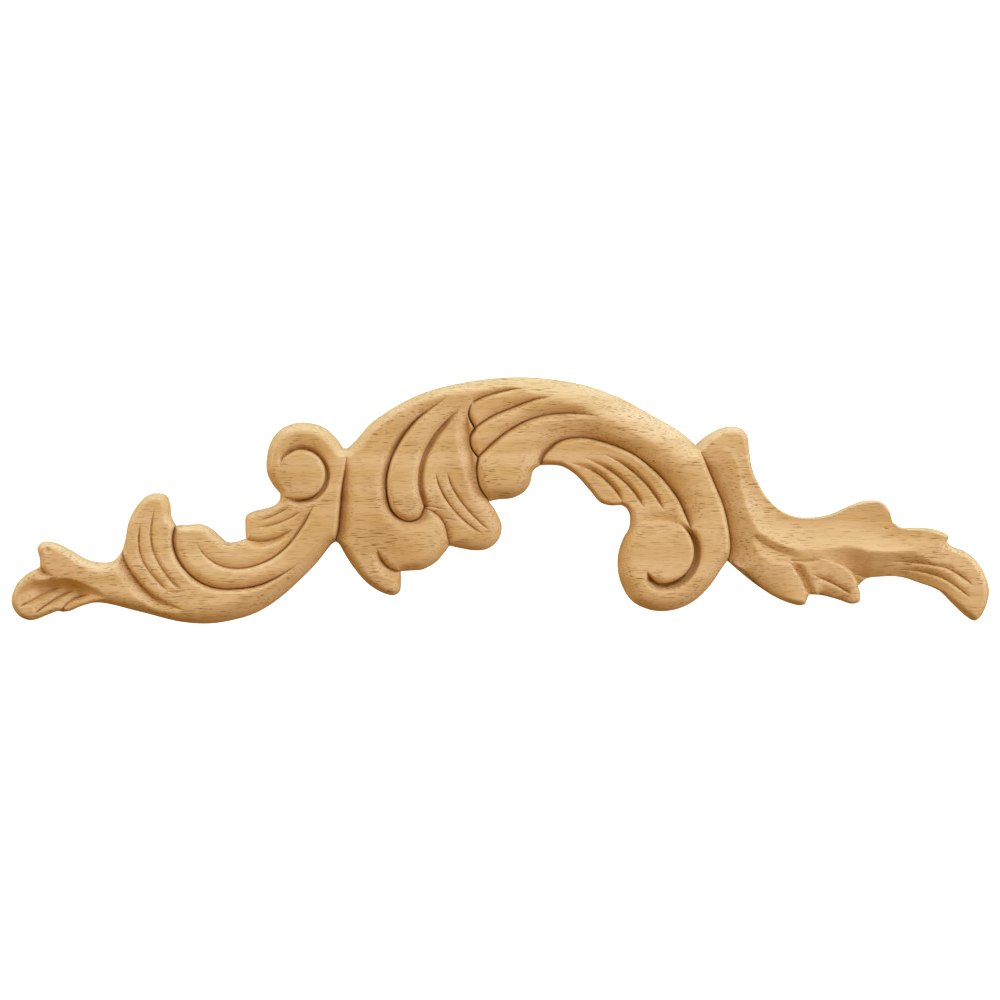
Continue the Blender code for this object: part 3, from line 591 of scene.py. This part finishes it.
def band(above: Array, below: Array) -> Array:
    """Four-sided faces between two closed rings of point numbers, the ring nearer the front given first."""
    return np.stack([np.roll(above, -1), np.roll(below, -1), below, above], axis=1)


def placed(name: str, data: bpy.types.ID) -> bpy.types.Object:
    """A new object in the scene.

    Args:
        name: Its name.
        data: Its mesh, light or camera.

    Returns:
        The object.
    """
    thing = bpy.data.objects.new(name, data)
    bpy.context.scene.collection.objects.link(thing)
    return thing


def surface(name: str, vertices: Array, blocks: list[Array], flat_faces: int = 0) -> bpy.types.Mesh:
    """A smooth-shaded mesh.

    Args:
        name: The mesh's name.
        vertices: The vertices' places.
        blocks: Arrays of faces, each face a row of vertex numbers.
        flat_faces: How many of the last faces are shaded flat.

    Returns:
        The mesh.
    """
    mesh = bpy.data.meshes.new(name)
    mesh.from_pydata(vertices.tolist(), [], [face for block in blocks for face in block.tolist()])
    smooth = np.arange(len(mesh.polygons)) < len(mesh.polygons) - flat_faces
    mesh.polygons.foreach_set("use_smooth", smooth)
    return mesh


@dataclass
class Relief:
    """The carving as a height over the back.

    A broad surface, blended from its named places, rolls over at the outline. The strokes cut down into it.
    """

    outline: Array = field(init=False)

    def __post_init__(self) -> None:
        """Sets out the closed outline, with a point at every corner."""
        stretches = list(OUTLINE.values())
        followers = stretches[1:] + stretches[:1]
        self.outline = cornered(*[curve(*own, after[0]) for own, after in zip(stretches, followers)])

    def broad_surface(self, points: Array) -> tuple[Array, Array]:
        """The level and the edge roll's width at each point.

        Each is a mean of the named places' own, weighted by a bell curve of the distance to them.

        Args:
            points: Places in the pattern.

        Returns:
            The levels as shares of the thickness, and the widths in units.
        """
        places = np.array([place for group in LEVELS.values() for place in group])
        squared = np.array([((points - place[:2]) ** 2).sum(1) for place in places])
        weight = np.exp(-(squared - squared.min(0)) / (2 * LEVEL_REACH**2))
        weight /= weight.sum(0)
        return places[:, 2] @ weight, places[:, 3] @ weight

    def carve(self, points: Array) -> tuple[Array, Array]:
        """The carving's height at each point, and how much painted crease shade the point gets.

        The height is the lowest of the rolled surface and of the level less each parting, and then the veins
        and marks are taken off it.

        Args:
            points: Places in the pattern.

        Returns:
            The heights as shares of the thickness, and the painted crease shade from 0 to 1.
        """
        level, roll = self.broad_surface(points)
        inward = nearest_on(self.outline, points, roll.max())[0]
        height = level * (1 - (1 - RIM_SHARE) * ROUND.profile(inward / roll))
        # Painted shade of the creases, the strongest that any stroke gives.
        crease = np.zeros(len(points))
        for name, stroke in STROKES.items():
            depth, near = stroke.cut(points, self.outline)
            height = np.minimum(height, level - depth) if name in PARTINGS else height - depth
            crease = np.maximum(crease, near)
        return np.maximum(height, FLOOR_SHARE), crease


@dataclass
class Applique:
    """The carved piece: its fine front, its upright edge with a small chamfer, and its flat back.

    Sizes of the front's mesh are in pattern units. Rows of points run beside every line, thinned to one
    point a cell, and loose points a facet apart fill the rest. Sizes of the edge and back are in metres.
    Each gap, which keeps points clear of the lines, is a share of the size that it follows.
    """

    relief: Relief
    facet: float = 1.9
    facet_gap: float = 0.6
    rows: tuple[float, ...] = (0.4, 1.0, 1.9)
    row_gap: float = 0.85
    join_within: float = 0.1
    cell: float = 0.4
    wall_shares: tuple[float, ...] = (0.25, 0.5, 0.75)
    chamfer: float = 0.0003
    back_facet: float = 0.004
    back_gap: float = 0.5
    back_join: float = 1e-9

    def lines(self) -> list[Array]:
        """The outline, and then every stroke's line."""
        return [self.relief.outline, *[stroke.path for stroke in STROKES.values()]]

    def beside(self, path: Array) -> Array:
        """Rows of points along both sides of a line, kept where no other line runs nearer than their own.

        Args:
            path: The line's points.

        Returns:
            The rows' points.
        """
        heading = np.gradient(path, axis=0)
        left = np.stack([heading[:, 1], -heading[:, 0]], axis=1) / np.hypot(*heading.T)[:, None]
        rows = []
        for offset in self.rows:
            row = np.vstack([path + offset * left, path - offset * left])
            rows.append(row[self.clearance(row, 2 * offset) > self.row_gap * offset])
        return np.vstack(rows)

    def clearance(self, points: Array, reach: float) -> Array:
        """How far each point is from the nearest line or the outline.

        Args:
            points: The points.
            reach: How far off a line still counts.

        Returns:
            The distances, infinite beyond the reach.
        """
        clear = np.full(len(points), np.inf)
        for path in self.lines():
            clear = np.minimum(clear, nearest_on(path, points, reach)[0])
        return clear

    def pattern(self) -> tuple[Array, Array]:
        """The front's flat mesh: a Delaunay triangulation with edges along the outline and every line.

        Returns:
            The points in the pattern, and the triangles, with the pattern's y pointing down.
        """
        outline = self.relief.outline
        beside = np.vstack([self.beside(path) for path in self.lines()])
        first_in_cell = np.unique(np.floor(beside / self.cell).astype(int), axis=0, return_index=True)[1]
        beside = beside[np.sort(first_in_cell)]
        loose = hexagonal_points(outline.min(0), outline.max(0), self.facet)
        free = self.rows[-1] + self.facet_gap * self.facet
        loose = loose[self.clearance(loose, free) > free]
        loose = np.vstack([beside, loose])
        loose = loose[inside_outline(loose, outline)]
        return triangulated(outline, self.lines()[1:], loose, self.join_within)

    def build(self, finish: bpy.types.Material) -> bpy.types.Object:
        """The whole piece, closed, with its faces out.

        Args:
            finish: The material that covers it.

        Returns:
            The object, standing at the origin.
        """
        flat, triangles = self.pattern()
        height, crease = self.relief.carve(flat)
        # The highest place stands at the full thickness.
        height /= height.max()
        across = (flat - PATTERN_ORIGIN) * UNIT
        front = np.stack([across[:, 0], -height * THICKNESS, -across[:, 1]], axis=1)
        rim = rim_loop(triangles)
        rings, inner = self.edge_rings(front[rim])
        loose, cap = self.back(inner)
        numbers = [rim, *(len(front) + np.arange(len(rings) * len(rim)).reshape(len(rings), -1))]
        edge = [band(above, below) for above, below in zip(numbers, numbers[1:])]
        faces = [triangles[:, ::-1], *edge, numbers[-1][0] + cap]
        mesh = surface("applique", np.vstack([front, *rings, loose]), faces, len(cap))
        # The painted shade of the creases, kept on the front's points for the wood's colour. The edge and back
        # get none.
        shade = np.zeros(len(mesh.vertices))
        shade[:len(crease)] = crease
        mesh.attributes.new("crease", "FLOAT", "POINT").data.foreach_set("value", shade)
        mesh.materials.append(finish)
        return placed("applique", mesh)

    def edge_rings(self, rim: Array) -> tuple[list[Array], Array]:
        """Rings of the upright edge, from under the rim to the back.

        The edge goes straight back in steps, and ends in a chamfer whose last ring is drawn in.

        Args:
            rim: The rim's points, in order round it.

        Returns:
            The rings, and the last one's places in the back's plane as x and z.
        """
        straight = [rim * (1, 1 - share, 1) for share in self.wall_shares]
        # Two rings close together end the smooth shading just before the chamfer.
        straight += [rim * (1, 0, 1) - (0, depth, 0) for depth in (2 * self.chamfer, self.chamfer)]
        ahead = np.roll(rim, -1, axis=0) - np.roll(rim, 1, axis=0)
        inward = np.stack([ahead[:, 2], np.zeros(len(rim)), -ahead[:, 0]], axis=1)
        inward /= np.linalg.norm(inward, axis=1)[:, None]
        last = rim * (1, 0, 1) + self.chamfer * inward
        return [*straight, last], last[:, [0, 2]]

    def back(self, inner: Array) -> tuple[Array, Array]:
        """The flat back, as loose points inside the last ring and triangles over both.

        Args:
            inner: The last ring, as x and z.

        Returns:
            The loose points in metres, and the triangles, whose numbers start at the ring's first point.
        """
        closed = np.vstack([inner, inner[:1]])
        loose = hexagonal_points(inner.min(0), inner.max(0), self.back_facet)
        loose = loose[inside_outline(loose, closed)]
        loose = loose[nearest_on(closed, loose, self.back_facet)[0] > self.back_gap * self.back_facet]
        # None of these points are joined, so they keep their order.
        cap = triangulated(closed, [], loose, self.back_join)[1]
        return np.stack([loose[:, 0], np.zeros(len(loose)), loose[:, 1]], axis=1), cap[:, ::-1]


class Value:
    """A node's output that takes part in sums."""

    def __init__(self, nodes: "Nodes", socket: Socket) -> None:
        """Keeps the socket and the nodes that it belongs to."""
        self.nodes = nodes
        self.socket = socket

    def math(self, operation: str, first: "Value | float", second: "Value | float") -> "Value":
        """The result of one Math node."""
        node = self.nodes.add("ShaderNodeMath", {"operation": operation}, {0: first, 1: second})
        return Value(self.nodes, node.outputs[0])

    def __add__(self, other: "Value | float") -> "Value":
        """This plus the other."""
        return self.math("ADD", self, other)

    def __sub__(self, other: "Value | float") -> "Value":
        """This less the other."""
        return self.math("SUBTRACT", self, other)

    def __mul__(self, other: "Value | float") -> "Value":
        """This times the other."""
        return self.math("MULTIPLY", self, other)

    __radd__ = __add__
    __rmul__ = __mul__


class Nodes:
    """The nodes of one material."""

    def __init__(self, name: str) -> None:
        """Starts a material with its shader alone.

        Args:
            name: The material's name.
        """
        self.material = bpy.data.materials.new(name)
        self.material.use_nodes = True
        self.tree = self.material.node_tree
        self.shader = self.tree.nodes["Principled BSDF"]

    def add(self, kind: str, settings: dict[str, object],
            inputs: dict[str | int, object]) -> bpy.types.Node:
        """One node.

        Args:
            kind: The node's type.
            settings: Its own properties, which are set first.
            inputs: Its sockets' values or links, by name or number.

        Returns:
            The node.
        """
        node = self.tree.nodes.new(kind)
        for name, value in settings.items():
            setattr(node, name, value)
        for name, value in inputs.items():
            self.feed(node.inputs[name], value)
        return node

    def feed(self, socket: Socket, value: object) -> None:
        """Links a value to a socket, or sets the socket to a plain number or colour.

        Args:
            socket: The input to feed.
            value: Another node's output, or the plain value.
        """
        if isinstance(value, Value):
            self.tree.links.new(value.socket, socket)
        elif isinstance(value, Socket):
            self.tree.links.new(value, socket)
        else:
            socket.default_value = value

    def place(self) -> Socket:
        """The place on the object, in its own coordinates."""
        return self.add("ShaderNodeTexCoord", {}, {}).outputs["Object"]

    def vector(self, operation: str, first: object, second: object) -> Socket:
        """The result of one Vector Math node."""
        return self.add("ShaderNodeVectorMath", {"operation": operation}, {0: first, 1: second}).outputs[0]

    def noise(self, place: Socket, lengths: Triple, detail: float) -> bpy.types.Node:
        """Cloudy noise.

        Args:
            place: Where it is read.
            lengths: About how far apart its clouds are along X, Y and Z, in metres.
            detail: How many finer layers it has.

        Returns:
            The noise node.
        """
        shares = self.vector("MULTIPLY", place, tuple(1 / length for length in lengths))
        return self.add("ShaderNodeTexNoise", {}, {"Vector": shares, "Scale": 1.0, "Detail": detail})

    def ramp(self, value: Value | Socket, low: float, high: float) -> Value:
        """A smooth step from 0 to 1 as the value goes from low to high."""
        node = self.add("ShaderNodeMapRange", {"interpolation_type": "SMOOTHSTEP"},
                        {"Value": value, "From Min": low, "From Max": high})
        return Value(self, node.outputs["Result"])

    def blend(self, share: Value, first: object, second: object) -> Socket:
        """The first colour, turned to the second by the share."""
        node = self.add("ShaderNodeMix", {"data_type": "RGBA"}, {"Factor": share, "A": first, "B": second})
        return node.outputs["Result"]


# The middle of a noise node's colour, which is taken off it to leave shifts both ways.
NOISE_MIDDLE = (0.5, 0.5, 0.5)


@dataclass(frozen=True)
class Grain:
    """One layer of the wood's pattern: cloudy noise, stepped smoothly from 0 at its low to 1 at its high.

    Its lengths are how far apart the clouds are along X, Y and Z, in metres. Its detail is how many finer
    layers the noise has.
    """

    lengths: Triple
    detail: float
    low: float
    high: float

    def layer(self, nodes: Nodes, place: Socket) -> Value:
        """The layer, read at the place given."""
        return nodes.ramp(nodes.noise(place, self.lengths, self.detail).outputs["Fac"], self.low, self.high)


@dataclass(frozen=True)
class BareHardwood:
    """Pale, sanded, unfinished hardwood, its grain along X.

    Broad bands of tone, fine fibres, and the short dark dashes of its vessels, which are bolder in patches.
    The whole pattern wanders a little off X. Painted shade darkens the bottoms of the sharp cuts. Lengths are
    in metres.
    """

    pale: Colour = (0.79, 0.51, 0.26, 1.0)
    tan: Colour = (0.66, 0.395, 0.145, 1.0)
    brown: Colour = (0.32, 0.14, 0.02, 1.0)
    # The painted shade at the bottoms of the sharp cuts, and below, how fully it is mixed in.
    crease: Colour = (0.27, 0.12, 0.01, 1.0)
    roughness: float = 0.58
    wander_lengths: Triple = (0.09, 0.05, 0.05)
    wander_detail: float = 2.0
    wander: float = 0.004
    bands: Grain = Grain((0.20, 0.010, 0.006), 3.0, 0.35, 0.65)
    fibres: Grain = Grain((0.03, 0.0006, 0.0006), 3.0, 0.3, 0.7)
    vessels: Grain = Grain((0.006, 0.0006, 0.00025), 1.0, 0.60, 0.65)
    patches: Grain = Grain((0.04, 0.012, 0.012), 2.0, 0.35, 0.6)
    band_share: float = 0.65
    faint_share: float = 0.4
    vessel_share: float = 0.95
    vessel_roughness: float = 0.08
    crease_shade_share: float = 0.55
    fibre_height: float = 0.3
    bump: float = 0.00003

    def material(self) -> bpy.types.Material:
        """The wood.

        Returns:
            The material.
        """
        nodes = Nodes("bare_hardwood")
        clouds = nodes.noise(nodes.place(), self.wander_lengths, self.wander_detail).outputs["Color"]
        wander = nodes.vector("SUBTRACT", clouds, NOISE_MIDDLE)
        wander = nodes.vector("MULTIPLY", wander, (0, self.wander, self.wander))
        place = nodes.vector("ADD", nodes.place(), wander)
        fibre = self.fibres.layer(nodes, place)
        strength = self.faint_share + (1 - self.faint_share) * self.patches.layer(nodes, place)
        vessel = self.vessels.layer(nodes, place) * strength
        # The crease attribute is a mask of painted shade along the sharp cuts.
        attribute = nodes.add("ShaderNodeAttribute", {"attribute_name": "crease"}, {})
        crease = Value(nodes, attribute.outputs["Fac"])
        tone = self.band_share * self.bands.layer(nodes, place) + (1 - self.band_share) * fibre
        colour = nodes.blend(tone, self.tan, self.pale)
        colour = nodes.blend(self.vessel_share * vessel, colour, self.brown)
        # Painted shade: the colour turns towards the dark crease colour along the sharp cuts.
        colour = nodes.blend(self.crease_shade_share * crease, colour, self.crease)
        relief = nodes.add("ShaderNodeBump", {}, {
            "Height": self.fibre_height * fibre - vessel, "Distance": self.bump})
        nodes.feed(nodes.shader.inputs["Base Color"], colour)
        nodes.feed(nodes.shader.inputs["Roughness"], self.roughness + self.vessel_roughness * vessel)
        nodes.feed(nodes.shader.inputs["Normal"], relief.outputs["Normal"])
        return nodes.material


@dataclass(frozen=True)
class Paper:
    """Plain matt studio paper, with a white glow of its own where it is lit from behind."""

    colour: Colour = (0.86, 0.86, 0.86, 1.0)
    roughness: float = 0.9
    glow: float = 0.0

    def material(self, name: str) -> bpy.types.Material:
        """The paper.

        Args:
            name: The material's name.

        Returns:
            The material.
        """
        nodes = Nodes(name)
        nodes.feed(nodes.shader.inputs["Base Color"], self.colour)
        nodes.feed(nodes.shader.inputs["Roughness"], self.roughness)
        nodes.feed(nodes.shader.inputs["Emission Strength"], self.glow)
        return nodes.material


@dataclass(frozen=True)
class Lamp:
    """A square soft box.

    Its azimuth turns from straight in front towards the right, and its elevation from level towards the top,
    both in degrees as seen from the piece. Its power is in watts, and its distance and width in metres.
    """

    name: str
    azimuth: float
    elevation: float
    power: float
    colour: Triple = (1.0, 1.0, 1.0)
    distance: float = 2.0
    width: float = 0.8

    def place(self) -> Vector:
        """Where it stands."""
        turn, rise = radians(self.azimuth), radians(self.elevation)
        return self.distance * Vector((sin(turn) * cos(rise), -cos(turn) * cos(rise), sin(rise)))


@dataclass
class Studio:
    """A pale floor, a bright backdrop, soft boxes and the camera.

    The camera stands straight in front, so far off that the piece shows almost no perspective. The picture's
    width spans PICTURE_SIZE units at edge_share of the thickness, where the rim is.
    """

    floor_depth: float = 0.6
    floor_reach: float = 4.0
    backdrop_distance: float = 3.2
    backdrop_height: float = 3.0
    backdrop_glow: float = 0.9
    ambient: float = 0.36
    ambient_colour: Colour = (1.0, 0.6, 0.18, 1.0)
    camera_distance: float = 1.9
    edge_share: float = 0.4
    sensor: float = 36.0
    lamps: tuple[Lamp, ...] = (
        Lamp("key soft box", 20.0, 30.0, 20.0, (0.74, 0.9, 1.0)),
        Lamp("right soft box", 60.0, 0.0, 22.0, (0.72, 0.84, 1.0)),
        Lamp("left soft box", -75.0, 20.0, 15.0, (1.0, 1.0, 0.8)),
        Lamp("right rim light", 90.0, 60.0, 28.0, (0.38, 0.7, 1.0)),
        Lamp("left rim light", -90.0, 60.0, 28.0, (0.34, 0.63, 1.0)),
    )

    def build(self) -> None:
        """Sets up the whole studio."""
        reach, far, under = self.floor_reach, self.backdrop_distance, -self.floor_depth
        self.sheet("studio_floor", Paper(), (-reach, -reach, under), (reach, far, under))
        self.sheet("backdrop", Paper(glow=self.backdrop_glow), (-reach, far, under),
                   (reach, far, self.backdrop_height))
        for lamp in self.lamps:
            self.light(lamp)
        self.surroundings()
        self.camera()

    def sheet(self, name: str, paper: Paper, low: Triple, high: Triple) -> None:
        """A flat sheet of paper, which sends no light back to the piece.

        Args:
            name: Its name.
            paper: Its finish.
            low: Its near corner on the left.
            high: The corner opposite.
        """
        corners = np.array([low, (high[0], *low[1:]), high, (low[0], *high[1:])])
        mesh = surface(name, corners, [np.array([[0, 1, 2, 3]])], 1)
        mesh.materials.append(paper.material(name))
        sheet = placed(name, mesh)
        sheet.visible_diffuse = sheet.visible_glossy = False

    def light(self, lamp: Lamp) -> None:
        """One soft box, facing the piece.

        Args:
            lamp: Its place, size, power and colour.
        """
        data = bpy.data.lights.new(lamp.name, "AREA")
        data.size = lamp.width
        data.energy = lamp.power
        data.color = lamp.colour
        box = placed(lamp.name, data)
        box.location = lamp.place()
        box.rotation_euler = (-lamp.place()).to_track_quat("-Z", "Y").to_euler()

    def surroundings(self) -> None:
        """Even light from all round, and colours shown as they are."""
        world = bpy.data.worlds.new("studio")
        world.use_nodes = True
        background = world.node_tree.nodes["Background"]
        background.inputs["Color"].default_value = self.ambient_colour
        background.inputs["Strength"].default_value = self.ambient
        bpy.context.scene.world = world
        bpy.context.scene.view_settings.view_transform = "Standard"

    def camera(self) -> None:
        """The camera, centred on the reference picture's middle."""
        data = bpy.data.cameras.new("camera")
        away = self.camera_distance - self.edge_share * THICKNESS
        data.sensor_width = self.sensor
        data.lens = self.sensor * away / (PICTURE_SIZE * UNIT)
        camera = placed("camera", data)
        middle = (PICTURE_CENTRE - np.array(PATTERN_ORIGIN)) * UNIT
        camera.location = (middle[0], -self.camera_distance, -middle[1])
        camera.rotation_euler = (radians(90), 0, 0)
        bpy.context.scene.camera = camera


def main() -> None:
    """Builds the piece and its studio, and notes both sizes."""
    relief = Relief()
    piece = Applique(relief).build(BareHardwood().material())
    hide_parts(NODE)
    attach(piece, "root")
    LOG.info("%s: %d faces", piece.name, len(piece.data.polygons))
    Studio().build()


if __name__ == "__main__":
    logging.basicConfig(level=logging.INFO)
    main()
